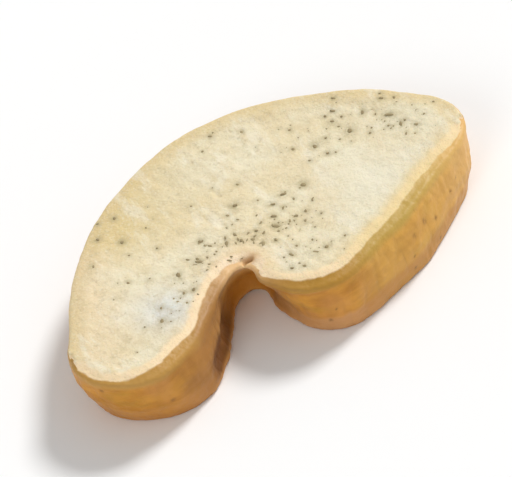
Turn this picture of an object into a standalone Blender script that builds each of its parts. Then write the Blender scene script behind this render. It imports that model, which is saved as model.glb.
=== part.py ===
"""A dried, kidney-shaped slice of a colchicum corm, as one solid.

Metres, +Z up. The slice lies on its lower cut face. Its length runs along X, and the groove
where the flower shoot lay opens towards -Y. The origin is on the resting face, under the
middle of the slice's box.
"""

import math

import bmesh
import bpy
from mathutils import Vector

MM = 0.001

THICKNESS = 4.9 * MM

# Both cuts, anticlockwise from the bottom of the groove: where each outline passes, in
# millimetres, on the upper and on the lower cut. The corm narrows downwards at its back and
# ends, and the groove reaches further into the lower cut.
CUT_OUTLINES = (
    ("groove, bottom right", (-2.8, -4.6), (-1.7, -2.4)),
    ("groove, right wall", (-2.7, -6.6), (-1.4, -5.4)),
    ("right lobe, foot", (0.6, -9.7), (0.9, -9.6)),
    ("right lobe, flank", (6.2, -8.1), (6.5, -8.8)),
    ("right lobe, shoulder", (11.9, -4.8), (11.8, -5.7)),
    ("right end", (16.8, -0.4), (15.9, -0.6)),
    ("back, right", (14.4, 4.6), (13.7, 4.1)),
    ("back, middle right", (8.9, 8.6), (8.4, 7.9)),
    ("back, crown", (1.0, 10.6), (0.8, 9.9)),
    ("back, middle left", (-6.4, 8.4), (-6.1, 7.7)),
    ("back, left", (-12.5, 3.2), (-11.8, 2.7)),
    ("left lobe, shoulder", (-15.8, -2.2), (-15.1, -2.4)),
    ("left end", (-17.3, -7.0), (-16.1, -6.4)),
    ("left lobe, foot", (-14.1, -10.4), (-12.9, -9.9)),
    ("left lobe, flank", (-9.5, -9.2), (-9.2, -9.9)),
    ("groove, left mouth", (-7.1, -7.1), (-6.9, -7.8)),
    ("groove, left wall", (-5.0, -5.2), (-4.9, -4.8)),
    ("groove, bottom left", (-3.3, -4.3), (-3.0, -2.4)),
)
POINTS_PER_SPAN = 8

# Between the cuts the skin bulges out, but in the groove it is drawn in
SKIN_BULGE = 0.35 * MM
GROOVE_DRAW = 0.5 * MM
GROOVE_REACH = 4.5 * MM

LOWER_EDGE_RADIUS = 0.3 * MM
UPPER_EDGE_RADIUS = 0.4 * MM
EDGE_STEPS = 3
WALL_STEPS = 6
SHARP_ANGLE = math.radians(40)

FLESH_COLOUR = (0.76, 0.66, 0.46, 1.0)
FLESH_ROUGHNESS = 0.75


def clear_scene():
    """Empty the scene without closing the file that the script runs from."""
    for obj in list(bpy.data.objects):
        bpy.data.objects.remove(obj, do_unlink=True)


def smooth_outline(corners):
    """Points along the smooth closed curve through the corners, given in millimetres."""
    curve = bpy.data.curves.new("cut_outline", "CURVE")
    curve.dimensions = "2D"
    curve.fill_mode = "NONE"
    curve.resolution_u = POINTS_PER_SPAN
    spline = curve.splines.new("BEZIER")
    spline.bezier_points.add(len(corners) - 1)
    for point, (x, y) in zip(spline.bezier_points, corners):
        point.co = (x * MM, y * MM, 0.0)
        point.handle_left_type = "AUTO"
        point.handle_right_type = "AUTO"
    spline.use_cyclic_u = True
    guide = bpy.data.objects.new("cut_outline", curve)
    bpy.context.scene.collection.objects.link(guide)
    evaluated = guide.evaluated_get(bpy.context.evaluated_depsgraph_get())
    mesh = bpy.data.meshes.new_from_object(evaluated)
    points = [vertex.co.to_2d() for vertex in mesh.vertices]
    bpy.data.objects.remove(guide, do_unlink=True)
    bpy.data.meshes.remove(mesh)
    return points


def outward_normals(points):
    """The outline's outward direction at each of its points."""
    normals = []
    for index, point in enumerate(points):
        before = points[index - 1]
        after = points[(index + 1) % len(points)]
        along = (point - before).normalized() + (after - point).normalized()
        normals.append(Vector((along.y, -along.x)).normalized())
    return normals


def rim_profile():
    """Heights up the rim, each with its edge rounding and its share of the bulge."""
    profile = []
    for step in range(EDGE_STEPS):
        angle = math.pi / 2 * step / EDGE_STEPS
        height = LOWER_EDGE_RADIUS * (1 - math.cos(angle))
        profile.append((height, LOWER_EDGE_RADIUS * (math.sin(angle) - 1), 0.0))
    wall = THICKNESS - LOWER_EDGE_RADIUS - UPPER_EDGE_RADIUS
    for step in range(WALL_STEPS + 1):
        share = step / WALL_STEPS
        profile.append((LOWER_EDGE_RADIUS + wall * share, 0.0, math.sin(math.pi * share)))
    for step in reversed(range(EDGE_STEPS)):
        angle = math.pi / 2 * step / EDGE_STEPS
        height = THICKNESS - UPPER_EDGE_RADIUS * (1 - math.cos(angle))
        profile.append((height, UPPER_EDGE_RADIUS * (math.sin(angle) - 1), 0.0))
    return profile


def rim_levels():
    """The rim's outline at each height, from the lower cut up to the upper one."""
    upper_cut = smooth_outline([upper for _, upper, _ in CUT_OUTLINES])
    lower_cut = smooth_outline([lower for _, _, lower in CUT_OUTLINES])
    groove_bottom = upper_cut[0]
    levels = []
    for height, rounding, bulge_share in rim_profile():
        outline = [low.lerp(high, height / THICKNESS) for low, high in zip(lower_cut, upper_cut)]
        level = []
        for point, normal in zip(outline, outward_normals(outline)):
            in_groove = math.exp(-((point - groove_bottom).length / GROOVE_REACH) ** 2)
            bulge = SKIN_BULGE - (SKIN_BULGE + GROOVE_DRAW) * in_groove
            flat = point + normal * (rounding + bulge * bulge_share)
            level.append(Vector((flat.x, flat.y, height)))
        levels.append(level)
    return levels


def centred(levels):
    """The same levels, moved so that the middle of their box is over the origin."""
    xs = [point.x for level in levels for point in level]
    ys = [point.y for level in levels for point in level]
    middle = Vector((min(xs) + max(xs), min(ys) + max(ys), 0.0)) / 2
    return [[point - middle for point in level] for level in levels]


def build_slice():
    """Loft the rim from the lower cut to the upper one, and close both cuts."""
    bm = bmesh.new()
    rings = [[bm.verts.new(point) for point in level] for level in centred(rim_levels())]
    for lower, upper in zip(rings, rings[1:]):
        for index in range(len(lower)):
            after = (index + 1) % len(lower)
            bm.faces.new((lower[index], lower[after], upper[after], upper[index]))
    bm.faces.new(reversed(rings[0]))
    bm.faces.new(rings[-1])
    mesh = bpy.data.meshes.new("corm_slice")
    bm.to_mesh(mesh)
    bm.free()
    mesh.shade_smooth()
    mesh.set_sharp_from_angle(angle=SHARP_ANGLE)
    return bpy.data.objects.new("corm_slice", mesh)


def dried_flesh_material():
    """The pale, mealy flesh that most of the slice shows."""
    material = bpy.data.materials.new("dried_flesh")
    material.use_nodes = True
    shader = material.node_tree.nodes["Principled BSDF"]
    shader.inputs["Base Color"].default_value = FLESH_COLOUR
    shader.inputs["Roughness"].default_value = FLESH_ROUGHNESS
    shader.inputs["Metallic"].default_value = 0.0
    return material


def main():
    clear_scene()
    collection = bpy.data.collections.new("colchicum_corm")
    bpy.context.scene.collection.children.link(collection)
    corm_slice = build_slice()
    corm_slice.data.materials.append(dried_flesh_material())
    collection.objects.link(corm_slice)


main()
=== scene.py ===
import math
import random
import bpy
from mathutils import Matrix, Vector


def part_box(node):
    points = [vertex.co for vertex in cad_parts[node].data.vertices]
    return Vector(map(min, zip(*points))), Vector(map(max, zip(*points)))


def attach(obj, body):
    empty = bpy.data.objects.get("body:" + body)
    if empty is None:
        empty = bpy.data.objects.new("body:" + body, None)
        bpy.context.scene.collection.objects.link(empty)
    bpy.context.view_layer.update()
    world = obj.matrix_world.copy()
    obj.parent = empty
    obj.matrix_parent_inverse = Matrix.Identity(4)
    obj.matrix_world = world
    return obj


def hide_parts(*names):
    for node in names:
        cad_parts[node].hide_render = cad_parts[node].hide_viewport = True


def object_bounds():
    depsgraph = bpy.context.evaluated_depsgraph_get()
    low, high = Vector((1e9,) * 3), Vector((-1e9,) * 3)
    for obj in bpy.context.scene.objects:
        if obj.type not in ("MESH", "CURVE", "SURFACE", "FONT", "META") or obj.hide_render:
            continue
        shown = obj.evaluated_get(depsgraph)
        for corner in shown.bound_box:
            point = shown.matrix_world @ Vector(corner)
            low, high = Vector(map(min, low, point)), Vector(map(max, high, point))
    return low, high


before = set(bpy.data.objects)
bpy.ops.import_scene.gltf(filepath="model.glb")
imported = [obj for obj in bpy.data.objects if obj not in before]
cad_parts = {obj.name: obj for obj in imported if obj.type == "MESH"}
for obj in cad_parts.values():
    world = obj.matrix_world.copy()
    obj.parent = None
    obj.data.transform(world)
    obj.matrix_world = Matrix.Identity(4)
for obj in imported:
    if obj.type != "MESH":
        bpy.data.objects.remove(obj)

# A dried, kidney-shaped slice of a colchicum corm: mealy cream cuts with the brown ends of
# the vascular bundles in them, and a waxy golden skin round the rim and in the groove.
# Lengths are in millimetres unless a name says otherwise.

from types import SimpleNamespace

import bmesh
import bpy
import numpy as np
from mathutils import Quaternion, Vector, noise
from mathutils.bvhtree import BVHTree

cad_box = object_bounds()

NODE = "corm_slice"
MM = 0.001
SPACING = 0.135
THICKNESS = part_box(NODE)[1].z / MM

# The end of the groove on both cuts, and how far round it the skin changes
GROOVE_END_UPPER = np.array((-2.9, -4.3))
GROOVE_END_LOWER = np.array((-2.2, -2.6))
GROOVE_REACH = 2.0
WALLS_REACH = 3.2
LEFT_WALL = ((-3.4, -3.8), (-7.4, -8.6), 1.3)

# The short cleft that starts from the groove's end in the upper cut, and its bend to the right
CLEFT = np.array(((-2.75, -4.6), (-2.5, -4.0), (-1.95, -4.15)))
CLEFT_DEPTH = 0.35
CLEFT_WIDTH = 0.12
CLEFT_WOBBLE = 0.06
CLEFT_STAIN = 0.42

# The way the groove's side of the slice faces, and how nearly a border must face it to count
FRONT = np.array((-0.29, -0.96))
FRONT_SHARE = 0.3

# How straight up or down a surface faces where the rim turns into a cut and where the cut is
# flat, where a point counts as on a cut, under a bundle end, and on the CAD's own cut faces
CUT_BEGINS, CUT_FLAT = 0.55, 0.9
ON_CUT = 0.3
FACING_FOR_BUNDLE = 0.8
FLAT_FACE = 0.999

# What drying does to the cuts
DISH_DEPTH = 0.20
DISH_REACH = 5.5
LIP_HEIGHT = 0.10
LIP_PLACE = 0.95
LIP_WIDTH = 0.40
SHOULDER_DROP = 0.25
SHOULDER_REACH = 0.95

# Relief of the cuts: how deep each kind is, and how large its lumps are
SWAY_DEPTH, SWAY_SIZE = 0.16, 6.0
WAVE_DEPTH, WAVE_SIZE = 0.07, 2.0
MEAL_DEPTH, MEAL_SIZE = 0.032, 0.48
PIT_DEPTH, PIT_SIZE = 0.08, 0.6
KNIFE_DEPTH, KNIFE_SIZE = 0.035, 0.75
KNIFE_STRETCH = (1.0, 14.0, 1.0)
KNIFE_TURN = math.radians(28)

# Relief of the rim: dents, wrinkles and bands in the skin, how far it flares out beside the
# lower cut, and the hollow of the groove's walls
DENT_DEPTH, DENT_SIZE = 0.11, 4.5
WRINKLE_DEPTH = 0.08
WRINKLE_SIZES = (1.9, 0.85)
WRINKLE_DRIFT, WRINKLE_DRIFT_SIZE = 0.5, 2.4
BAND_DEPTH, BAND_SIZE = 0.05, 0.9
FLARE, WALL_FLARE = 0.05, 0.14
WALL_HOLLOW = 0.20

# How far the whole outline wanders, and its small nicks
WANDER_DEPTH, WANDER_SIZE = 0.07, 2.8
NICK_DEPTH, NICK_SIZE = 0.035, 0.9

# How far the skin reaches over the front border of the upper cut: place and reach there, and
# over what distance the reach at one place blends into the next
SKIN_REACH = (
    ((-17.0, -6.5), 0.0), ((-15.5, -8.9), 0.15), ((-12.7, -9.3), 0.5), ((-9.9, -9.2), 0.55),
    ((-8.1, -7.8), 0.1), ((-6.9, -6.1), 0.45), ((-5.5, -5.1), 0.5), ((-3.9, -4.4), 0.3),
    ((-2.2, -5.5), 0.0), ((-1.0, -7.7), 0.45), ((0.8, -8.7), 0.5), ((3.7, -8.6), 0.35),
    ((7.7, -6.7), 0.45), ((10.7, -5.0), 0.45), ((13.2, -3.4), 0.35), ((15.3, -1.9), 0.1),
    ((16.8, -0.2), -0.3), ((16.0, 2.5), -0.6),
)
SKIN_REACH_BLEND = 1.6

# The bundle ends that show best on the upper cut: x, y, half length and half width of the mark,
# the way it lies in degrees, and how dark it is
CLEAR_BUNDLES = (
    (4.5, 0.5, 0.40, 0.31, 122, 1.0), (-0.4, 1.6, 0.36, 0.28, 120, 1.0),
    (2.9, 0.5, 0.60, 0.33, 164, 0.45), (3.3, -0.4, 0.38, 0.17, 66, 0.5),
    (4.3, -1.4, 0.38, 0.15, 65, 0.5), (1.8, 0.0, 0.47, 0.27, 136, 0.6),
    (3.4, -2.1, 0.31, 0.20, 73, 0.9), (1.3, -1.2, 0.47, 0.27, 136, 0.7),
    (2.6, -2.1, 0.39, 0.24, 135, 0.6), (2.0, -2.3, 0.38, 0.17, 66, 0.6),
    (2.9, -3.0, 0.31, 0.20, 73, 0.9), (1.0, -2.2, 0.62, 0.27, 139, 1.0),
    (-0.4, -1.8, 0.36, 0.28, 120, 0.6), (-1.3, 1.0, 0.31, 0.25, 111, 0.45),
    (-0.9, 0.1, 0.31, 0.21, 132, 0.35), (-1.8, -1.3, 0.45, 0.21, 96, 0.8),
    (-1.7, -2.1, 0.33, 0.21, 78, 1.0), (-2.7, -1.7, 0.55, 0.23, 66, 0.8),
    (-1.0, -2.5, 0.32, 0.26, 118, 0.8), (-0.6, -3.3, 0.42, 0.27, 64, 0.7),
    (-4.1, -0.2, 0.32, 0.26, 97, 0.7), (-4.0, -0.9, 0.33, 0.22, 96, 0.6),
    (-5.1, -2.1, 0.47, 0.29, 134, 1.0), (-4.4, -3.9, 0.31, 0.22, 77, 1.0),
    (-5.4, -4.6, 0.39, 0.26, 132, 1.0), (0.3, -3.6, 0.35, 0.28, 94, 0.3),
    (0.5, -5.5, 0.54, 0.27, 109, 0.5), (2.9, -6.4, 0.34, 0.30, 141, 0.6),
    (2.0, -6.4, 0.51, 0.24, 138, 0.5), (-0.1, -6.8, 0.39, 0.24, 135, 0.4),
    (0.7, -7.2, 0.35, 0.24, 132, 0.4), (2.4, -5.1, 0.28, 0.19, 73, 0.3),
    (12.9, 1.5, 0.47, 0.19, 65, 1.2), (12.7, 2.9, 0.62, 0.24, 140, 0.9),
    (11.3, 4.4, 0.55, 0.24, 66, 0.6), (9.7, 3.4, 0.58, 0.47, 91, 0.4),
    (13.0, 4.7, 0.40, 0.31, 122, 0.5), (13.8, 4.2, 0.33, 0.22, 73, 0.5),
    (9.7, 5.9, 0.47, 0.24, 138, 0.6), (10.3, 6.9, 0.39, 0.24, 135, 0.5),
    (9.2, 5.0, 0.39, 0.24, 135, 0.7), (9.0, 5.8, 0.28, 0.22, 83, 0.6),
    (7.0, 3.6, 0.45, 0.33, 78, 0.6), (7.4, 2.3, 0.31, 0.25, 111, 0.6),
    (8.0, 3.8, 0.30, 0.23, 122, 0.4), (13.8, 0.7, 0.39, 0.24, 135, 0.4),
    (12.8, 0.4, 0.44, 0.17, 65, 0.4), (-9.9, -5.8, 0.44, 0.23, 67, 1.0),
    (-7.4, -4.3, 0.33, 0.22, 73, 0.7), (-6.7, -4.5, 0.44, 0.24, 68, 0.8),
    (-7.7, -5.4, 0.28, 0.19, 73, 0.5), (-7.6, -6.4, 0.25, 0.20, 111, 0.5),
    (-6.9, -2.4, 0.67, 0.34, 75, 0.4), (-8.6, 3.3, 0.43, 0.33, 83, 0.4),
    (-11.4, 2.1, 0.33, 0.19, 69, 0.4), (-10.1, -0.8, 0.31, 0.25, 111, 0.3),
    (-8.0, 5.6, 0.28, 0.22, 83, 0.8), (-9.2, 5.9, 0.26, 0.21, 94, 0.6),
    (-9.9, 4.4, 0.31, 0.25, 111, 0.6), (1.4, 9.0, 0.43, 0.24, 136, 0.5),
    (3.4, 8.1, 0.32, 0.26, 118, 0.35), (5.6, 4.2, 0.34, 0.27, 87, 0.35),
    (6.3, 6.1, 0.30, 0.23, 122, 0.35),
)

# How much of a mark's half width the dry end itself takes, and how much more in a dark one
END_SHARE, DARK_SHARE = 0.36, 0.24

# Where the smaller ones stand on either cut: centre, spread and how many. Then their least
# radius, how much larger they get, and their length for their width
BUNDLE_GROUPS = (
    ((2.4, -1.6), (1.2, 1.3), 38),
    ((12.2, 2.8), (1.4, 1.2), 34),
    ((1.6, -5.8), (1.6, 0.8), 12),
    ((-6.4, -3.2), (1.2, 1.4), 12),
    ((-8.6, -5.6), (1.1, 0.8), 9),
    ((-8.6, 3.4), (2.2, 1.9), 5),
    ((6.6, 5.0), (3.0, 1.5), 18),
    ((-12.2, -5.6), (1.6, 1.9), 4),
    ((-2.5, 4.5), (3.2, 2.1), 6),
)
GROUP_RADIUS, GROUP_RADIUS_GAIN = 0.04, 0.07
GROUP_LENGTHS = (0.7, 1.6)

# Rings of short dashes that stand round the end of the groove like a fan: ring radius, first
# and last angle in degrees, and how many. Then their radii, their length for their width, how
# far they stray from the ring, and how far they swing from pointing away, in radians
FAN_RINGS = ((1.0, 15, 160, 5), (2.35, 12, 165, 14), (3.2, 25, 150, 10), (4.2, 40, 140, 6))
FAN_RADII = (0.05, 0.10)
FAN_LENGTHS = (1.4, 2.8)
FAN_STRAY = 0.16
FAN_SWING = 0.3

# The nub at a bundle end: its height for its width, how uneven it is and how far it tilts
NUB_FLATNESS = 0.35
NUB_ROUGHNESS = 0.12
NUB_TILT = 0.3
NUB_SEED = 7

# The flesh round it: how deep it sinks, how far it is stained and from which radius fully, and
# how clear of the skin the upper cut's bundles end
BUNDLE_DIP = 0.02
STAIN_MARGIN, STAIN_PER_RADIUS = 0.14, 1.6
FULL_STAIN_RADIUS = 0.15
CLEAR_OF_SKIN = 0.25

# Brown spots in the skin: where, how high up the rim in millimetres, and how wide
SKIN_SPOTS = (
    (9.9, -6.0, 3.7, 0.24), (8.4, -6.8, 3.6, 0.17),
    (12.6, -3.6, 2.4, 0.15), (-12.0, -10.2, 2.2, 0.16),
)
FREE_SPOTS = 26
FREE_SPOT_WIDTHS = (0.07, 0.15)

# Where the colour changes round a place, x, y and reach, or along a line, both ends and reach
ROUND_PATCHES = {
    "foot": (1.0, -9.5, 4.0),
    "right_end": (15.5, -1.5, 4.0),
    "grey_patch": (-9.2, -5.0, 2.2),
    "pale_patch": (9.0, -2.0, 3.6),
}
LONG_PATCHES = {
    # Painted shade on the left lobe's side that faces the groove
    "left_side_shade": ((-6.5, -7.0), (-9.5, -9.8), 1.8),
    "peach_side": ((-9.5, -8.8), (-3.6, -4.0), 1.0),
    "peach_end": ((-14.8, -6.0), (-11.5, 2.5), 1.6),
}


def smoothstep(value, start, end):
    """0 at start and before, 1 at end and beyond, smooth between."""
    share = np.clip((value - start) / (end - start), 0.0, 1.0)
    return share * share * (3 - 2 * share)


def hump(value, middle, width):
    """1 at the middle, falling smoothly to 0 about twice the width away."""
    return np.exp(-(((value - middle) / width) ** 2))


def lumps(points, size, octaves=1, stretch=(1.0, 1.0, 1.0), seed=0.0):
    """Smooth noise, about -1 to 1, with lumps of that size, drawn out along an axis by stretch."""
    scaled = points / (size * np.array(stretch)) + seed
    return np.array([noise.fractal(p, 1.0, 2.0, octaves) for p in scaled.tolist()])


def sideways(points, depth, size, octaves, stretch, seeds):
    """A wandering shift in x and y, with lumps of that size."""
    shifts = [depth * lumps(points, size, octaves, stretch, seed) for seed in seeds]
    return np.stack(shifts, axis=1)


def cad_solid():
    """The CAD slice as one closed mesh, in millimetres."""
    bm = bmesh.new()
    bm.from_mesh(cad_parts[NODE].data)
    bmesh.ops.remove_doubles(bm, verts=bm.verts, dist=1e-6)
    bmesh.ops.scale(bm, vec=(1 / MM, 1 / MM, 1 / MM), verts=bm.verts)
    bm.normal_update()
    return bm


def cut_border(bm, facing):
    """A cut's border in straight stretches, each with start, end and the way it faces outward."""
    stretches = []
    for edge in bm.edges:
        beside = [face for face in edge.link_faces if face.normal.z * facing < FLAT_FACE]
        if len(beside) == 1:
            outward = beside[0].normal.to_2d().normalized()
            stretches.append([edge.verts[0].co[:2], edge.verts[1].co[:2], outward[:]])
    return np.array(stretches)


def front_of(border):
    """The stretches of a border that face the front."""
    return border[border[:, 2] @ FRONT > FRONT_SHARE]


def distance_to_line(points, start, end):
    """How far each point lies from a straight stretch, seen from above."""
    run = end - start
    share = np.clip((points[:, :2] - start) @ run / (run @ run), 0.0, 1.0)
    return np.linalg.norm(points[:, :2] - start - share[:, None] * run, axis=1)


def distance_to_lines(points, stretches):
    """How far each point lies from the nearest of several stretches, seen from above."""
    nearest = np.full(len(points), np.inf)
    for start, end, _ in stretches:
        nearest = np.minimum(nearest, distance_to_line(points, start, end))
    return nearest


def inside_border(points, stretches):
    """Whether each point lies inside a closed border, seen from above."""
    x, y = points[:, 0], points[:, 1]
    inside = np.zeros(len(points), bool)
    for start, end, _ in stretches:
        if start[1] != end[1]:
            crossing = start[0] + (y - start[1]) * (end[0] - start[0]) / (end[1] - start[1])
            inside ^= ((start[1] > y) != (end[1] > y)) & (x < crossing)
    return inside


def near_place(points, x, y, reach):
    """1 at a place seen from above, falling off to 0 round it."""
    return hump(np.hypot(points[:, 0] - x, points[:, 1] - y), 0.0, reach)


def near_line(points, start, end, reach):
    """1 along a straight stretch seen from above, falling off to 0 beside it."""
    return hump(distance_to_line(points, np.array(start), np.array(end)), 0.0, reach)


def fine_mesh(bm):
    """The same solid with small even faces, ready for its relief."""
    mesh = bpy.data.meshes.new("slice_blank")
    bm.to_mesh(mesh)
    blank = bpy.data.objects.new("slice_blank", mesh)
    bpy.context.scene.collection.objects.link(blank)
    remesh = blank.modifiers.new("even_faces", "REMESH")
    remesh.mode = "VOXEL"
    remesh.voxel_size = SPACING
    evaluated = blank.evaluated_get(bpy.context.evaluated_depsgraph_get())
    fine = bpy.data.meshes.new_from_object(evaluated)
    bpy.data.objects.remove(blank, do_unlink=True)
    bpy.data.meshes.remove(mesh)
    return fine


def clear_bundles():
    """The bundle ends that show best on the upper cut, as bundle_places gives them."""
    places = []
    for x, y, half_length, half_width, turn, dark in CLEAR_BUNDLES:
        radius = half_width * (END_SHARE + DARK_SHARE * dark)
        places.append((x, y, radius, half_length / half_width, math.radians(turn)))
    return places


def grouped_bundles(dice):
    """Smaller bundle ends, strewn round the middles of their groups."""
    places = []
    for (x, y), (spread_x, spread_y), count in BUNDLE_GROUPS:
        for _ in range(count):
            radius = GROUP_RADIUS + GROUP_RADIUS_GAIN * dice.random() ** 2
            place = x + dice.gauss(0, spread_x), y + dice.gauss(0, spread_y)
            length = dice.uniform(*GROUP_LENGTHS)
            places.append((*place, radius, length, dice.uniform(0, math.pi)))
    return places


def fan_bundles(dice, groove_end):
    """The short dashes that point away from the end of the groove."""
    places = []
    for ring, first, last, count in FAN_RINGS:
        for index in range(count):
            share = (index + dice.uniform(0.1, 0.9)) / count
            angle = math.radians(first + (last - first) * share)
            reach = ring + dice.gauss(0, FAN_STRAY)
            x = groove_end[0] + reach * math.cos(angle)
            y = groove_end[1] + reach * math.sin(angle)
            radius, length = dice.uniform(*FAN_RADII), dice.uniform(*FAN_LENGTHS)
            places.append((x, y, radius, length, angle + dice.gauss(0, FAN_SWING)))
    return places


def bundle_places(facing):
    """Where the bundles end on a cut: place, radius, length per width and the way they lie."""
    dice = random.Random(41 if facing > 0 else 43)
    clear = clear_bundles() if facing > 0 else []
    groove_end = GROOVE_END_UPPER if facing > 0 else GROOVE_END_LOWER
    return clear + grouped_bundles(dice) + fan_bundles(dice, groove_end)


def bundle_marks(points, facing):
    """0 to 1 in the stained flesh round each bundle end of a cut."""
    marks = np.zeros(len(points))
    for x, y, radius, length, turn in bundle_places(facing):
        along = (points[:, 0] - x) * math.cos(turn) + (points[:, 1] - y) * math.sin(turn)
        across = (points[:, 1] - y) * math.cos(turn) - (points[:, 0] - x) * math.sin(turn)
        reach = STAIN_MARGIN + STAIN_PER_RADIUS * radius
        gap = np.hypot(along / (reach + radius * (length - 1)), across / reach)
        strength = min(1.0, radius / FULL_STAIN_RADIUS)
        marks = np.maximum(marks, strength * hump(gap, 0.0, 1.0))
    return marks


def skin_spots(points, normals):
    """0 to 1 in the brown spots of the skin."""
    rim = points[np.abs(normals[:, 2]) < ON_CUT]
    dice = random.Random(17)
    spots = [((x, y, z), width) for x, y, z, width in SKIN_SPOTS]
    for _ in range(FREE_SPOTS):
        spots.append((rim[dice.randrange(len(rim))], dice.uniform(*FREE_SPOT_WIDTHS)))
    marks = np.zeros(len(points))
    for place, width in spots:
        centre = rim[np.argmin(np.linalg.norm(rim - place, axis=1))]
        marks = np.maximum(marks, hump(np.linalg.norm(points - centre, axis=1), 0.0, width))
    return marks


def skin_reach(points):
    """How far the skin reaches over the upper cut's front border, blended between the places."""
    total, weights = np.zeros(len(points)), np.full(len(points), 1e-6)
    for place, reach in SKIN_REACH:
        away = np.linalg.norm(points[:, :2] - place, axis=1)
        weight = hump(away, 0.0, SKIN_REACH_BLEND)
        total += weight * reach
        weights += weight
    return total / weights


def distance_to_cleft(points):
    """How far each point lies from the cleft, seen from above."""
    return np.minimum(distance_to_line(points, *CLEFT[:2]), distance_to_line(points, *CLEFT[1:]))


def cleft_depth(points):
    """0 to 1 in the short cleft that runs from the end of the groove into the upper cut."""
    wobble = [lumps(points, 0.6, 2, seed=seed) for seed in (61, 67)]
    wobbled = points[:, :2] + CLEFT_WOBBLE * np.stack(wobble, axis=1)
    return hump(distance_to_cleft(wobbled), 0.0, CLEFT_WIDTH)


def wrinkles(points):
    """-1 in the valleys and about 1 on the crests of the upright wrinkles that drying leaves."""
    wandering = points.copy()
    wandering[:, :2] += sideways(
        points, WRINKLE_DRIFT, WRINKLE_DRIFT_SIZE, 1, (1.0, 1.0, 1.0), (71, 73)
    )
    broad, fine = [
        4.0 * np.abs(lumps(wandering, size, 1, (1.0, 1.0, 3.0), seed)) - 1
        for size, seed in zip(WRINKLE_SIZES, (37, 39))
    ]
    return np.clip(0.6 * broad + 0.4 * fine, -1.0, 1.0)


def knife_frame(points):
    """The points turned so that the knife's stroke runs along the second axis."""
    cosine, sine = math.cos(KNIFE_TURN), math.sin(KNIFE_TURN)
    turned = points.copy()
    turned[:, 0] = points[:, 0] * cosine + points[:, 1] * sine
    turned[:, 1] = points[:, 1] * cosine - points[:, 0] * sine
    return turned


def cut_relief(points, border_gap, seed):
    """How far a cut stands out from its plane, in the direction it faces."""
    inside = smoothstep(border_gap, 0.0, 1.5)
    dish = -DISH_DEPTH * smoothstep(border_gap, 0.3, DISH_REACH)
    sway = SWAY_DEPTH * lumps(points, SWAY_SIZE, seed=seed)
    waves = WAVE_DEPTH * lumps(points, WAVE_SIZE, 2, seed=seed + 5)
    strokes = lumps(knife_frame(points), KNIFE_SIZE, 2, KNIFE_STRETCH, seed + 9)
    mealy = MEAL_DEPTH * lumps(points, MEAL_SIZE, 2, seed=seed + 13)
    mealy *= smoothstep(border_gap, 0.2, 1.0)
    pitted = smoothstep(lumps(points, 3.0, seed=seed + 19), -0.2, 0.5)
    pits = -PIT_DEPTH * pitted * smoothstep(lumps(points, PIT_SIZE, 1, seed=seed + 23), 0.25, 0.6)
    pits *= smoothstep(border_gap, 0.5, 1.2)
    lip = LIP_HEIGHT * hump(border_gap, LIP_PLACE, LIP_WIDTH)
    lip *= 0.7 + 0.6 * lumps(points, 1.6, seed=seed + 17)
    return dish + (sway + waves + KNIFE_DEPTH * strokes) * inside + mealy + pits + lip


def shoulder_drop(points, front_gap):
    """How far the upper cut rounds down towards its front border."""
    uneven = 0.9 + 0.5 * lumps(points, 2.5, seed=32)
    return SHOULDER_DROP * uneven * (1 - smoothstep(front_gap, 0.0, SHOULDER_REACH)) ** 2


def rim_relief(points, zones):
    """How far the skin stands out: dents, wrinkles, bands, the lower flare and the hollow."""
    below_cut = 1 - smoothstep(zones.height, 0.76, 0.96)
    dents = DENT_DEPTH * lumps(points, DENT_SIZE, seed=31)
    strength = 0.8 + 0.6 * lumps(points, 5.0, seed=91)
    wrinkled = WRINKLE_DEPTH * zones.wrinkled * strength
    bands = BAND_DEPTH * lumps(points, BAND_SIZE, 2, (5.0, 5.0, 1.0), 43)
    flare = (FLARE + WALL_FLARE * zones.walls) * hump(zones.height, 0.09, 0.09)
    hollow = -WALL_HOLLOW * zones.walls * hump(zones.height, 0.33, 0.14)
    return (dents + wrinkled + bands - WRINKLE_DEPTH) * below_cut + flare + hollow


def slice_zones(points, normals):
    """Where each point lies on the slice: which cut, how high, and what drying left there."""
    up = smoothstep(normals[:, 2], CUT_BEGINS, CUT_FLAT)
    down = smoothstep(-normals[:, 2], CUT_BEGINS, CUT_FLAT)
    height = points[:, 2] / THICKNESS
    groove_end = GROOVE_END_LOWER + (GROOVE_END_UPPER - GROOVE_END_LOWER) * height[:, None]
    from_end = np.linalg.norm(points[:, :2] - groove_end, axis=1)
    return SimpleNamespace(
        up=up,
        down=down,
        height=height,
        groove=hump(from_end, 0.0, GROOVE_REACH),
        walls=np.maximum(hump(from_end, 0.0, WALLS_REACH), near_line(points, *LEFT_WALL)),
        bundles=bundle_marks(points, 1) * up + bundle_marks(points, -1) * down,
        cleft=cleft_depth(points) * up,
        wrinkled=wrinkles(points),
    )


def shaped_points(points, normals, gaps, zones):
    """The even mesh's points, moved to the dried slice's surface."""
    upper_gap, lower_gap, front_gap = [np.maximum(gap, 0.0) for gap in gaps]
    on_rim = 1 - zones.up - zones.down
    shaped = points + normals * (on_rim * rim_relief(points, zones))[:, None]
    wander = sideways(points, WANDER_DEPTH, WANDER_SIZE, 2, (1, 1, 3), (51, 57))
    shaped[:, :2] += wander + sideways(points, NICK_DEPTH, NICK_SIZE, 2, (1, 1, 2), (81, 83))
    upper = cut_relief(points, upper_gap, 3.0) - CLEFT_DEPTH * zones.cleft
    shaped[:, 2] += zones.up * upper
    upper_edge = np.maximum(zones.up, smoothstep(zones.height, 0.80, 0.97)) * (1 - zones.down)
    shaped[:, 2] -= upper_edge * shoulder_drop(points, front_gap)
    shaped[:, 2] -= zones.down * cut_relief(points, lower_gap, 23.0)
    shaped[:, 2] -= BUNDLE_DIP * zones.bundles * (zones.up - zones.down)
    shaped[:, 2] = np.maximum(shaped[:, 2], 0.0)
    return shaped


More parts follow.
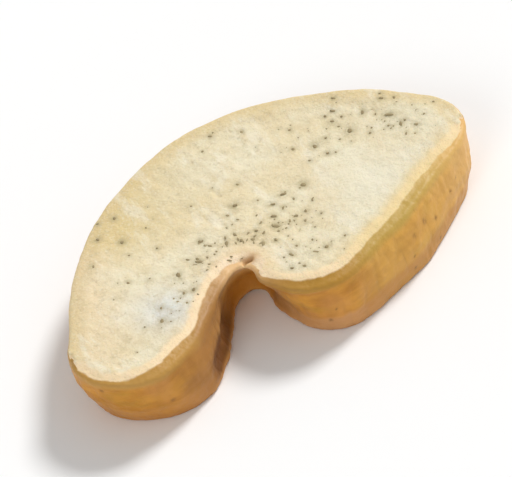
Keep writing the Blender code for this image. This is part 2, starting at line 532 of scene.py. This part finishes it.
def painted_finish(points, normals, gaps, zones):
    """What the finish needs to know at each point, by name."""
    x, y = points[:, 0], points[:, 1]
    upper_gap, lower_gap, front_gap = gaps
    upper_cut = smoothstep(normals[:, 2], 0.45, 0.85)
    lower_cut = smoothstep(-normals[:, 2], 0.75, 0.97)
    backward = 1 - smoothstep(normals[:, :2] @ FRONT, -0.1, 0.4)
    finish = {
        "skin": 1 - np.maximum(upper_cut, lower_cut),
        "edge_mm": np.where(normals[:, 2] > 0, upper_gap, lower_gap),
        "front_mm": front_gap,
        "beyond_skin": front_gap - skin_reach(points),
        "groove": zones.groove,
        "walls": zones.walls,
        "bundle": zones.bundles,
        "spot": skin_spots(points, normals),
        "cleft": zones.cleft,
        "cleft_stain": hump(distance_to_cleft(points), 0.0, CLEFT_STAIN) * zones.up,
        "height": zones.height,
        "wrinkle": 0.5 + 0.5 * zones.wrinkled,
        "warm_edge": hump(x, -8.5, 5.5) * smoothstep(y, 0.0, 4.0),
        # Where the skin and the lip are yellower: partly their own colour, partly a painted
        # highlight
        "flank": smoothstep(x, 2.0, 6.0) * (1 - smoothstep(y, -4.0, 0.0)),
        # Painted shade: the left lobe's rim is made browner
        "left_lobe_shade": smoothstep(-x, 5.0, 8.0) * smoothstep(-y, 3.0, 6.0),
        # Where the skin's upper edge is lightened along the back as painted light
        "back": backward * smoothstep(np.abs(front_gap), 0.8, 6.0),
    }
    finish |= {name: near_place(points, *patch) for name, patch in ROUND_PATCHES.items()}
    finish |= {name: near_line(points, *patch) for name, patch in LONG_PATCHES.items()}
    return finish


def border_gaps(points, normals, borders):
    """How far in from the upper, lower and front border each point lies, negative outside.

    Beside the slice the front gap turns from negative to positive away from the front, so that
    the rim's back is as far from the front as the cut beside it.
    """
    facing = normals[:, 2] > ON_CUT, normals[:, 2] < -ON_CUT
    on_cut = [inside_border(points, border) & side for border, side in zip(borders, facing)]
    inside = (*on_cut, on_cut[0] | on_cut[1])
    gaps = [distance_to_lines(points, border) for border in (*borders, front_of(borders[0]))]
    away = 2 * smoothstep(gaps[2], 0.8, 1.8) - 1
    outside = [-gaps[0], -gaps[1], gaps[2] * away]
    return [np.where(*choice) for choice in zip(inside, gaps, outside)]


def link(piece):
    """Puts a new object in the scene and hands it back."""
    bpy.context.scene.collection.objects.link(piece)
    return piece


def paint(mesh, values_by_name):
    """Stores values for each point of a mesh, by name."""
    for name, values in values_by_name.items():
        mesh.attributes.new(name, "FLOAT", "POINT").data.foreach_set("value", values)


def dried_slice():
    """The slice as one closed skin of small faces, with its finish painted as attributes."""
    bm = cad_solid()
    borders = cut_border(bm, 1), cut_border(bm, -1)
    mesh = fine_mesh(bm)
    bm.free()
    count = len(mesh.vertices)
    points, normals = np.zeros(count * 3), np.zeros(count * 3)
    mesh.vertices.foreach_get("co", points)
    mesh.vertex_normals.foreach_get("vector", normals)
    points, normals = points.reshape(-1, 3), normals.reshape(-1, 3)
    gaps = border_gaps(points, normals, borders)
    zones = slice_zones(points, normals)
    shaped = shaped_points(points, normals, gaps, zones)
    mesh.vertices.foreach_set("co", (shaped * MM).ravel())
    paint(mesh, painted_finish(points, normals, gaps, zones))
    mesh.update()
    mesh.shade_smooth()
    mesh.materials.clear()
    mesh.materials.append(slice_finish())
    return link(bpy.data.objects.new("dried_slice", mesh))


def bundle_guide(slice_piece):
    """A point on the slice's surface for each bundle end, with its radius, length and turn."""
    surface = BVHTree.FromObject(slice_piece, bpy.context.evaluated_depsgraph_get())
    beyond_skin = slice_piece.data.attributes["beyond_skin"].data
    points, radii, lengths, turns = [], [], [], []
    for facing in (1, -1):
        start = Vector((0.0, 0.0, (THICKNESS + 2) * MM if facing > 0 else -2 * MM))
        for x, y, radius, length, turn in bundle_places(facing):
            place, normal, face, _ = surface.ray_cast(
                start + Vector((x * MM, y * MM, 0.0)), Vector((0.0, 0.0, -facing))
            )
            if place is None or place.z < radius * MM:
                continue
            corner = slice_piece.data.polygons[face].vertices[0]
            in_skin = facing > 0 and beyond_skin[corner].value < CLEAR_OF_SKIN
            if in_skin or normal.z * facing < FACING_FOR_BUNDLE:
                continue
            points.append(place)
            radii.append(radius * MM)
            lengths.append(length)
            turns.append(turn)
    mesh = bpy.data.meshes.new("bundle_guide")
    mesh.from_pydata(points, [], [])
    paint(mesh, {"radius": radii, "length": lengths, "turn": turns})
    return link(bpy.data.objects.new("bundle_guide", mesh))


def add_node(tree, kind, inputs, output, **settings):
    """What a new node gives out, with its inputs fed from other nodes or set to values."""
    node = tree.nodes.new(kind)
    for name, value in settings.items():
        setattr(node, name, value)
    feed(tree, node, inputs)
    return node.outputs[output]


def feed(tree, node, inputs):
    """Feeds a node's inputs from other nodes, or sets them to values."""
    for name, value in inputs.items():
        if isinstance(value, bpy.types.NodeSocket):
            tree.links.new(value, node.inputs[name])
        else:
            node.inputs[name].default_value = value


def named_value(tree, name):
    """The value of a guide point's attribute."""
    return add_node(
        tree, "GeometryNodeInputNamedAttribute", {"Name": name}, "Attribute", data_type="FLOAT"
    )


def nub_turn(tree, seed):
    """The way each nub lies, with a small random tilt."""
    tilts = {"Min": (-NUB_TILT, -NUB_TILT, 0.0), "Max": (NUB_TILT, NUB_TILT, 0.0)}
    tilt = add_node(
        tree, "FunctionNodeRandomValue", {**tilts, "Seed": seed}, "Value",
        data_type="FLOAT_VECTOR",
    )
    lying = add_node(tree, "ShaderNodeCombineXYZ", {"Z": named_value(tree, "turn")}, "Vector")
    return add_node(tree, "ShaderNodeVectorMath", {0: tilt, 1: lying}, "Vector")


def nub_size(tree, flatness):
    """Each nub's length, width and height."""
    proportions = {"X": named_value(tree, "length"), "Y": 1.0, "Z": flatness}
    shape = add_node(tree, "ShaderNodeCombineXYZ", proportions, "Vector")
    return add_node(
        tree, "ShaderNodeVectorMath", {0: shape, "Scale": named_value(tree, "radius")}, "Vector",
        operation="SCALE",
    )


def uneven_push(tree):
    """A small shift that differs from place to place."""
    lumps_per_metre = 1 / (NUB_ROUGHNESS * MM)
    rough = add_node(tree, "ShaderNodeTexNoise", {"Scale": lumps_per_metre}, "Color")
    centred = add_node(
        tree, "ShaderNodeVectorMath", {0: rough, 1: (0.5, 0.5, 0.5)}, "Vector",
        operation="SUBTRACT",
    )
    return add_node(
        tree, "ShaderNodeVectorMath", {0: centred, "Scale": NUB_ROUGHNESS * MM}, "Vector",
        operation="SCALE",
    )


def bundle_tree(material):
    """Puts a small flattened, irregular nub on each guide point."""
    tree = bpy.data.node_groups.new("bundle_ends", "GeometryNodeTree")
    interface = tree.interface
    interface.new_socket("Geometry", in_out="INPUT", socket_type="NodeSocketGeometry")
    flatness = interface.new_socket("Flatness", in_out="INPUT", socket_type="NodeSocketFloat")
    seed = interface.new_socket("Seed", in_out="INPUT", socket_type="NodeSocketInt")
    interface.new_socket("Geometry", in_out="OUTPUT", socket_type="NodeSocketGeometry")
    given = tree.nodes.new("NodeGroupInput").outputs

    nub = add_node(
        tree, "GeometryNodeMeshUVSphere", {"Segments": 7, "Rings": 4, "Radius": 1.0}, "Mesh"
    )
    placing = {
        "Points": given["Geometry"],
        "Instance": nub,
        "Rotation": nub_turn(tree, given["Seed"]),
        "Scale": nub_size(tree, given["Flatness"]),
    }
    nubs = add_node(tree, "GeometryNodeInstanceOnPoints", placing, "Instances")
    real = add_node(tree, "GeometryNodeRealizeInstances", {"Geometry": nubs}, "Geometry")
    moving = {"Geometry": real, "Offset": uneven_push(tree)}
    uneven = add_node(tree, "GeometryNodeSetPosition", moving, "Geometry")
    coating = {"Geometry": uneven, "Material": material}
    coated = add_node(tree, "GeometryNodeSetMaterial", coating, "Geometry")
    feed(tree, tree.nodes.new("NodeGroupOutput"), {"Geometry": coated})
    return tree, flatness.identifier, seed.identifier


def bundle_ends(slice_piece):
    """The dry ends of the vascular bundles, which shrink less than the flesh round them."""
    guide = bundle_guide(slice_piece)
    tree, flatness, seed = bundle_tree(bundle_ends_material())
    growth = guide.modifiers.new("bundle_ends", "NODES")
    growth.node_group = tree
    growth[flatness] = NUB_FLATNESS
    growth[seed] = NUB_SEED
    evaluated = guide.evaluated_get(bpy.context.evaluated_depsgraph_get())
    mesh = bpy.data.meshes.new_from_object(evaluated)
    bpy.data.objects.remove(guide, do_unlink=True)
    mesh.shade_smooth()
    return link(bpy.data.objects.new("vascular_bundle_ends", mesh))


class Finish:
    """A material under construction, with short names for the nodes it is made of."""

    def __init__(self, name):
        self.material = bpy.data.materials.new(name)
        self.material.use_nodes = True
        self.tree = self.material.node_tree
        self.place = self.add("ShaderNodeTexCoord", {}, "Object")

    def add(self, kind, inputs, output, **settings):
        """What a new node gives out."""
        return add_node(self.tree, kind, inputs, output, **settings)

    def surface(self, inputs):
        """Feeds or sets the surface's own inputs."""
        feed(self.tree, self.tree.nodes["Principled BSDF"], inputs)

    def painted(self, name):
        """A value painted on the mesh."""
        return self.add("ShaderNodeAttribute", {}, "Fac", attribute_name=name)

    def mapped(self, size, stretch, turn):
        """Object coordinates with one unit to a lump of that size."""
        scale = [1 / (MM * size * s) for s in stretch]
        mapping = {"Vector": self.place, "Rotation": (0.0, 0.0, turn), "Scale": scale}
        return self.add("ShaderNodeMapping", mapping, "Vector")

    def noise(self, size, detail=2.0, roughness=0.5, stretch=(1.0, 1.0, 1.0), turn=0.0):
        """Noise from 0 to 1 with lumps of that size in millimetres."""
        inputs = {"Scale": 1.0, "Detail": detail, "Roughness": roughness}
        inputs["Vector"] = self.mapped(size, stretch, turn)
        return self.add("ShaderNodeTexNoise", inputs, "Fac")

    def wobble(self, size, detail):
        """Noise from about -0.5 to 0.5."""
        return self.sum(self.noise(size, detail), -0.5)

    def cells(self, size):
        """Distance from the middle of the nearest grain, with grains of that size."""
        inputs = {"Scale": 1.0, "Vector": self.mapped(size, (1.0, 1.0, 1.0), 0.0)}
        return self.add("ShaderNodeTexVoronoi", inputs, "Distance")

    def step(self, value, start, end):
        """0 to 1 as the value goes from start to end, smoothly."""
        inputs = {"Value": value, "From Min": start, "From Max": end}
        return self.add("ShaderNodeMapRange", inputs, "Result", interpolation_type="SMOOTHSTEP")

    def sum(self, first, second, share=1.0):
        """first + second * share."""
        inputs = {0: second, 1: share, 2: first}
        return self.add("ShaderNodeMath", inputs, 0, operation="MULTIPLY_ADD")

    def times(self, first, second):
        """The product of two values."""
        return self.add("ShaderNodeMath", {0: first, 1: second}, 0, operation="MULTIPLY")

    def blend(self, share, first, second):
        """One colour turning into another as share goes from 0 to 1."""
        inputs = {"Factor": share, "A": first, "B": second}
        return self.add("ShaderNodeMix", inputs, "Result", data_type="RGBA")

    def tint(self, colour, tone, share, strength):
        """The colour turned towards a tone, by at most strength, where share is 1.

        The share can be the name of a painted value.
        """
        where = self.painted(share) if isinstance(share, str) else share
        return self.blend(self.times(where, strength), colour, tone)

    def bump(self, height, depth_mm):
        """The way the surface faces, with fine relief too small for the mesh."""
        inputs = {"Distance": depth_mm * MM, "Strength": 1.0, "Height": height}
        return self.add("ShaderNodeBump", inputs, "Normal")


def rgb(red, green, blue):
    """A colour socket's value, in linear light."""
    return (red, green, blue, 1.0)


# The flesh
STRAW = rgb(0.80, 0.68, 0.44)
CREAM = rgb(0.82, 0.74, 0.53)
PALE_CREAM = rgb(0.82, 0.78, 0.62)
WARM_STRAW = rgb(0.72, 0.57, 0.29)
STRAW_NEAR_SKIN = rgb(0.72, 0.56, 0.29)
PEACH = rgb(0.88, 0.63, 0.39)
DULL_PEACH = rgb(0.80, 0.62, 0.40)
GREY_WHITE = rgb(0.71, 0.74, 0.74)
DULL_BROWN = rgb(0.62, 0.51, 0.30)
CHALK = rgb(0.90, 0.86, 0.72)
FLECK_BROWN = rgb(0.54, 0.44, 0.26)
OLIVE_STAIN = rgb(0.42, 0.35, 0.19)
GROOVE_PEACH = rgb(0.92, 0.66, 0.43)
CLEFT_RUST = rgb(0.56, 0.28, 0.09)
CLEFT_BROWN = rgb(0.36, 0.17, 0.055)

# The bare lip between flesh and skin, partly a painted highlight along the cut's edge
BUTTER_LIP = rgb(0.97, 0.75, 0.47)
PINK_LIP = rgb(1.0, 0.82, 0.60)
YELLOW_LIP_AND_HIGHLIGHT = rgb(0.83, 0.65, 0.33)

# The skin
AMBER = rgb(0.48, 0.195, 0.02)
GOLD = rgb(0.62, 0.285, 0.036)
ORANGE = rgb(0.62, 0.28, 0.08)
OLIVE_GOLD = rgb(0.42, 0.25, 0.02)
# Darker in the wrinkles' valleys: partly the skin's own colour, partly painted shade
VALLEY_SHADE_BROWN = rgb(0.33, 0.14, 0.02)
# Partly the skin's own yellow, partly a painted highlight where the right lobe's flank catches the
# light
FLANK_YELLOW_AND_HIGHLIGHT = rgb(0.74, 0.46, 0.12)
# Painted shade: browner on the left lobe's rim, darker on its side that faces the groove
LEFT_SHADE_BROWN = rgb(0.40, 0.18, 0.03)
SIDE_SHADE_BROWN = rgb(0.32, 0.14, 0.035)
PALE_TOP = rgb(0.50, 0.275, 0.065)
OLIVE_TOP = rgb(0.51, 0.335, 0.075)
PALE_ORANGE = rgb(0.86, 0.53, 0.20)
# Painted light: the back edge's skin lightened to beige, as if lit from behind
BACKLIT_BEIGE = rgb(0.86, 0.66, 0.38)
# A painted shadow line under the cut's edge at the right lobe's foot
SHADOW_LINE_OLIVE = rgb(0.42, 0.22, 0.025)
LOWER_LIP_BROWN = rgb(0.50, 0.22, 0.06)
BEIGE_LIP = rgb(0.56, 0.29, 0.12)
SPOT_BROWN = rgb(0.20, 0.085, 0.02)

# The skin in the groove: beside its end, made lighter there against the shade, and on the walls
# farther out; the dark tones low on the walls are painted shade
WALL_SHADE = rgb(0.38, 0.16, 0.03)
WALL_BROWN = rgb(0.54, 0.27, 0.07)
END_ORANGE = rgb(0.80, 0.40, 0.07)
WALL_TOP = rgb(0.36, 0.17, 0.05)
END_TOP = rgb(0.85, 0.56, 0.28)
# Painted shade low on the walls, farther out and beside the end
WALL_LOW_SHADE = rgb(0.13, 0.04, 0.005)
END_LOW_SHADE = rgb(0.58, 0.23, 0.02)
WALL_LIP = rgb(0.52, 0.22, 0.045)

# The bundle ends
BUNDLE_DARK = rgb(0.20, 0.15, 0.07)
BUNDLE_LIGHT = rgb(0.46, 0.37, 0.20)


def flesh_ground(finish):
    """Cream flesh, warmer near the skin, with its broad pale, peach and grey patches."""
    edge = finish.painted("edge_mm")
    patches = finish.step(finish.noise(4.0, 3.0, 0.55), 0.36, 0.66)
    colour = finish.blend(patches, STRAW, CREAM)
    colour = finish.tint(colour, PALE_CREAM, "pale_patch", 0.7)
    colour = finish.tint(colour, WARM_STRAW, "warm_edge", 0.95)
    near_skin = finish.step(finish.sum(edge, finish.noise(1.6, 2.0), -1.4), 1.1, -0.7)
    colour = finish.tint(colour, STRAW_NEAR_SKIN, near_skin, 0.8)
    colour = finish.tint(colour, PEACH, "peach_side", 0.5)
    colour = finish.tint(colour, DULL_PEACH, "peach_end", 0.4)
    return finish.tint(colour, GREY_WHITE, "grey_patch", 0.75)


def mealy_mottling(finish, colour):
    """The flesh's mottling, chalky streaks, dark flecks and starch grains."""
    uneven = finish.sum(1.0, finish.painted("pale_patch"), -0.8)
    mottle = finish.step(finish.noise(1.1, 4.0, 0.65), 0.46, 0.68)
    colour = finish.tint(colour, DULL_BROWN, finish.times(mottle, uneven), 0.36)
    chalky = finish.step(finish.noise(1.5, 4.0, 0.7, (1.0, 3.0, 1.0), 0.5), 0.50, 0.68)
    colour = finish.tint(colour, CHALK, finish.times(chalky, uneven), 0.40)
    flecks = finish.step(finish.noise(0.42, 1.0, 0.5), 0.62, 0.72)
    colour = finish.tint(colour, FLECK_BROWN, finish.times(flecks, uneven), 0.30)
    return finish.tint(colour, CHALK, finish.step(finish.cells(0.24), 0.5, 0.1), 0.22)


def flesh_colour(finish):
    """Mealy cream flesh, stained round the bundle ends, at the groove and in the cleft."""
    colour = mealy_mottling(finish, flesh_ground(finish))
    patchy = finish.step(finish.noise(0.35, 2.0), 0.20, 0.55)
    stain = finish.times(finish.painted("bundle"), patchy)
    colour = finish.tint(colour, OLIVE_STAIN, stain, 0.85)
    colour = finish.tint(colour, GROOVE_PEACH, "groove", 0.5)
    colour = finish.tint(colour, CLEFT_RUST, "cleft_stain", 0.85)
    return finish.blend(finish.painted("cleft"), colour, CLEFT_BROWN)


def wall_colour(finish, height):
    """The groove's skin: peach above its end, brown beside it, painted shade low down, a paler
    lip; the tones at the end are made lighter against its shade.
    """
    near_end = finish.painted("groove")
    # Darker in the wrinkles' valleys, partly as painted shade
    shade = finish.step(finish.painted("wrinkle"), 0.0, 0.7)
    middle = finish.blend(shade, WALL_SHADE, WALL_BROWN)
    middle = finish.tint(middle, END_ORANGE, near_end, 0.7)
    top = finish.blend(near_end, WALL_TOP, END_TOP)
    colour = finish.blend(finish.step(height, 0.45, 0.85), middle, top)
    # Painted shade: the walls darken in a band low down, above the paler lip
    low = finish.times(finish.step(height, 0.58, 0.38), finish.step(height, 0.06, 0.18))
    dark = finish.blend(near_end, WALL_LOW_SHADE, END_LOW_SHADE)
    colour = finish.tint(colour, dark, low, 0.9)
    return finish.blend(finish.step(height, 0.14, 0.05), colour, WALL_LIP)


def skin_ground(finish, streaks, patches):
    """Golden skin with its streaks, patches and wrinkles: darker in the wrinkles' valleys, partly
    as painted shade, yellower on the flank, partly as a painted highlight, and painted shade on
    the left lobe.
    """
    colour = finish.blend(finish.step(streaks, 0.34, 0.66), AMBER, GOLD)
    colour = finish.tint(colour, ORANGE, finish.step(patches, 0.45, 0.7), 0.45)
    olive = finish.step(finish.noise(1.2, 2.0, 0.5, (3.0, 3.0, 1.0), 0.7), 0.56, 0.74)
    colour = finish.tint(colour, OLIVE_GOLD, olive, 0.35)
    # Darker in the wrinkles' valleys: partly the skin's own colour, partly painted shade
    valley_shade = finish.step(finish.painted("wrinkle"), 0.45, 0.05)
    colour = finish.tint(colour, VALLEY_SHADE_BROWN, valley_shade, 0.25)
    # Yellower on the flank: partly its own colour, partly a painted highlight
    colour = finish.tint(colour, FLANK_YELLOW_AND_HIGHLIGHT, "flank", 0.4)
    # Painted shade on the left lobe's rim and on its side that faces the groove
    colour = finish.tint(colour, LEFT_SHADE_BROWN, "left_lobe_shade", 0.15)
    return finish.tint(colour, SIDE_SHADE_BROWN, "left_side_shade", 0.55)


def upper_edge_colour(finish, colour, height, level):
    """The skin's pale upper edge, olive on the flank, partly as a painted highlight, lightened to
    beige at the back as painted light, and a painted shadow line in olive at the right lobe's
    foot.
    """
    pale = finish.blend(finish.painted("flank"), PALE_TOP, OLIVE_TOP)
    colour = finish.blend(finish.step(level, 0.80, 1.0), colour, pale)
    colour = finish.tint(colour, PALE_ORANGE, "right_end", 0.6)
    # Painted light: the skin's upper edge lightened to beige along the back
    ragged = finish.sum(level, finish.wobble(0.8, 3.0), 0.16)
    behind = finish.times(finish.step(ragged, 0.74, 0.92), finish.painted("back"))
    colour = finish.tint(colour, BACKLIT_BEIGE, behind, 0.8)
    # Painted shadow: an olive line under the overhanging edge of the cut at the right lobe's foot
    shadow_line = finish.times(finish.step(height, 0.86, 0.93), finish.painted("foot"))
    near_front = finish.step(finish.painted("front_mm"), 0.8, 0.4)
    return finish.tint(colour, SHADOW_LINE_OLIVE, finish.times(shadow_line, near_front), 0.75)


def lower_edge_colour(finish, colour, streaks, level):
    """The skin's pinkish lower edge, beige at the right lobe's foot."""
    lower_lip = finish.step(level, 0.38, 0.26)
    colour = finish.tint(colour, LOWER_LIP_BROWN, lower_lip, 0.5)
    at_foot = finish.times(lower_lip, finish.painted("foot"))
    beige = finish.times(at_foot, finish.step(streaks, 0.2, 0.55))
    return finish.tint(colour, BEIGE_LIP, beige, 0.8)


def skin_colour(finish):
    """Golden skin, yellow at the upper edge, pinkish at the lower one, brown in the groove."""
    height = finish.painted("height")
    patches = finish.noise(2.6, 2.0)
    streaks = finish.noise(0.8, 4.0, 0.6, (4.0, 4.0, 1.0))
    level = finish.sum(height, finish.sum(patches, -0.5), 0.22)
    colour = skin_ground(finish, streaks, patches)
    colour = upper_edge_colour(finish, colour, height, level)
    colour = lower_edge_colour(finish, colour, streaks, level)
    colour = finish.blend(finish.painted("walls"), colour, wall_colour(finish, height))
    patchy = finish.step(finish.noise(0.3, 2.0), 0.2, 0.5)
    spots = finish.times(finish.painted("spot"), patchy)
    return finish.tint(colour, SPOT_BROWN, spots, 0.85)


def lip_colour(finish, colour, beyond):
    """The flesh with its pale bare lip along the skin, pink at the groove, yellow on the flank;
    the lip's lightness is partly a painted highlight.
    """
    whole = finish.step(finish.noise(1.8, 2.0), 0.12, 0.42)
    lip = finish.times(finish.step(beyond, 0.80, 0.30), whole)
    lip = finish.times(lip, finish.sum(0.75, finish.painted("groove"), 0.15))
    lip = finish.times(lip, finish.sum(1.0, finish.painted("cleft_stain"), -1.0))
    # Lighter than the flesh: partly the lip's own colour, partly a painted highlight along the
    # edge
    lip_tone = finish.blend(finish.painted("groove"), BUTTER_LIP, PINK_LIP)
    colour = finish.blend(lip, colour, lip_tone)
    # Yellow on the flank: partly the lip's own colour, partly a painted highlight
    yellow = finish.times(finish.step(beyond, 1.6, 0.0), finish.painted("flank"))
    return finish.tint(colour, YELLOW_LIP_AND_HIGHLIGHT, yellow, 0.85)


def slice_finish():
    """Mealy flesh on the cuts that turns into waxy skin round the rim."""
    finish = Finish("mealy_flesh_and_waxy_skin")
    beyond = finish.sum(finish.painted("beyond_skin"), finish.wobble(1.0, 2.0), 0.35)
    side = finish.sum(finish.painted("skin"), finish.wobble(0.7, 2.0), 0.30)
    skin = finish.step(finish.sum(side, finish.step(beyond, 0.20, -0.25), 0.75), 0.28, 0.66)
    flesh = lip_colour(finish, flesh_colour(finish), beyond)
    roughness = finish.sum(finish.sum(0.9, skin, -0.48), finish.noise(1.2), 0.08)
    grain = finish.sum(finish.noise(0.22, 4.0, 0.65), -0.5)
    lumpy = finish.times(finish.noise(0.7, 2.0), 1.2)
    relief = finish.sum(lumpy, grain, finish.sum(1.0, skin, -0.75))
    finish.surface({
        "Base Color": finish.blend(skin, flesh, skin_colour(finish)),
        "Roughness": roughness,
        "Specular IOR Level": 0.28,
        "Subsurface Weight": 0.06,
        "Subsurface Radius": (1.0, 0.5, 0.2),
        "Subsurface Scale": 0.4 * MM,
        "Normal": finish.bump(relief, 0.09),
    })
    return finish.material


def bundle_ends_material():
    """Dry olive-brown ends of the bundles."""
    finish = Finish("dry_bundle_ends")
    colour = finish.blend(finish.noise(0.5, 2.0), BUNDLE_DARK, BUNDLE_LIGHT)
    finish.surface({"Base Color": colour, "Roughness": 0.85})
    return finish.material


# The studio: a floor that turns up into a low wall, and where two soft lamps shine from
FLOOR_RADIUS_M = 1.6
WALL_RADIUS_M = 0.6
WALL_STEPS = 16
FLOOR_SIDES = 96
FLOOR_COLOUR = rgb(0.92, 0.92, 0.915)
KEY_LIGHT = {"azimuth": 115, "elevation": 42, "strength": 2.5, "softness": 16}
FRONT_FILL = {"azimuth": -48, "elevation": 34, "strength": 0.60, "softness": 25}
SKY_COLOUR = rgb(1.0, 1.0, 1.0)
SKY_STRENGTH = 0.42

# The photograph's view of the slice: azimuth and elevation over its cut, and the picture's turn
VIEW_AZIMUTH = -17.0
VIEW_ELEVATION = 42.0
VIEW_TURN = 14.6
LENS_MM = 600.0
DISTANCE_M = 0.6
CLIP_M = (0.01, 10.0)


def floor_material():
    """The pale, dull floor."""
    finish = Finish("pale_floor")
    finish.surface({"Base Color": FLOOR_COLOUR, "Roughness": 0.9})
    return finish.material


def floor_and_backdrop():
    """A pale round floor that turns up into a low wall all round."""
    bm = bmesh.new()
    profile = [Vector((0.0, 0.0, 0.0)), Vector((FLOOR_RADIUS_M, 0.0, 0.0))]
    for step in range(1, WALL_STEPS + 1):
        angle = math.pi / 2 * step / WALL_STEPS
        out = FLOOR_RADIUS_M + WALL_RADIUS_M * math.sin(angle)
        profile.append(Vector((out, 0.0, WALL_RADIUS_M * (1 - math.cos(angle)))))
    verts = [bm.verts.new(point) for point in profile]
    edges = [bm.edges.new(pair) for pair in zip(verts, verts[1:])]
    bmesh.ops.spin(
        bm, geom=verts + edges, cent=(0, 0, 0), axis=(0, 0, 1),
        angle=2 * math.pi, steps=FLOOR_SIDES, use_merge=True,
    )
    bmesh.ops.remove_doubles(bm, verts=bm.verts, dist=1e-5)
    bmesh.ops.recalc_face_normals(bm, faces=bm.faces)
    mesh = bpy.data.meshes.new("studio_floor")
    bm.to_mesh(mesh)
    bm.free()
    mesh.shade_smooth()
    mesh.materials.append(floor_material())
    return link(bpy.data.objects.new("studio_floor", mesh))


def direction(azimuth_deg, elevation_deg):
    """Points away from the slice, towards a camera or light at that azimuth and elevation."""
    azimuth, elevation = math.radians(azimuth_deg), math.radians(elevation_deg)
    level = math.cos(elevation)
    return Vector((math.sin(azimuth) * level, -math.cos(azimuth) * level, math.sin(elevation)))


def sun(name, azimuth, elevation, strength, softness):
    """A soft light that shines from that direction, with angles in degrees."""
    light = bpy.data.lights.new(name, "SUN")
    light.energy = strength
    light.angle = math.radians(softness)
    lamp = link(bpy.data.objects.new(name, light))
    lamp.rotation_mode = "QUATERNION"
    lamp.rotation_quaternion = direction(azimuth, elevation).to_track_quat("Z", "Y")


def studio_light():
    """Bright even light from above and behind, with a weaker fill from the front."""
    sun("key_light", **KEY_LIGHT)
    sun("front_fill", **FRONT_FILL)
    world = bpy.data.worlds.new("studio")
    world.use_nodes = True
    background = world.node_tree.nodes["Background"]
    feed(world.node_tree, background, {"Color": SKY_COLOUR, "Strength": SKY_STRENGTH})
    bpy.context.scene.world = world
    bpy.context.scene.view_settings.view_transform = "Standard"


def photograph_camera():
    """A camera that sees the slice as the photograph does."""
    back = direction(VIEW_AZIMUTH, VIEW_ELEVATION)
    lens = bpy.data.cameras.new("camera")
    lens.lens = LENS_MM
    lens.clip_start, lens.clip_end = CLIP_M
    camera = link(bpy.data.objects.new("camera", lens))
    camera.rotation_mode = "QUATERNION"
    upright = (-back).to_track_quat("-Z", "Y")
    camera.rotation_quaternion = upright @ Quaternion((0.0, 0.0, 1.0), -math.radians(VIEW_TURN))
    low, high = cad_box
    camera.location = (low + high) / 2 + back * DISTANCE_M
    bpy.context.scene.camera = camera


def main():
    slice_piece = dried_slice()
    for piece in (slice_piece, bundle_ends(slice_piece)):
        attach(piece, "root")
        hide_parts(NODE)
    floor_and_backdrop()
    studio_light()
    photograph_camera()


main()
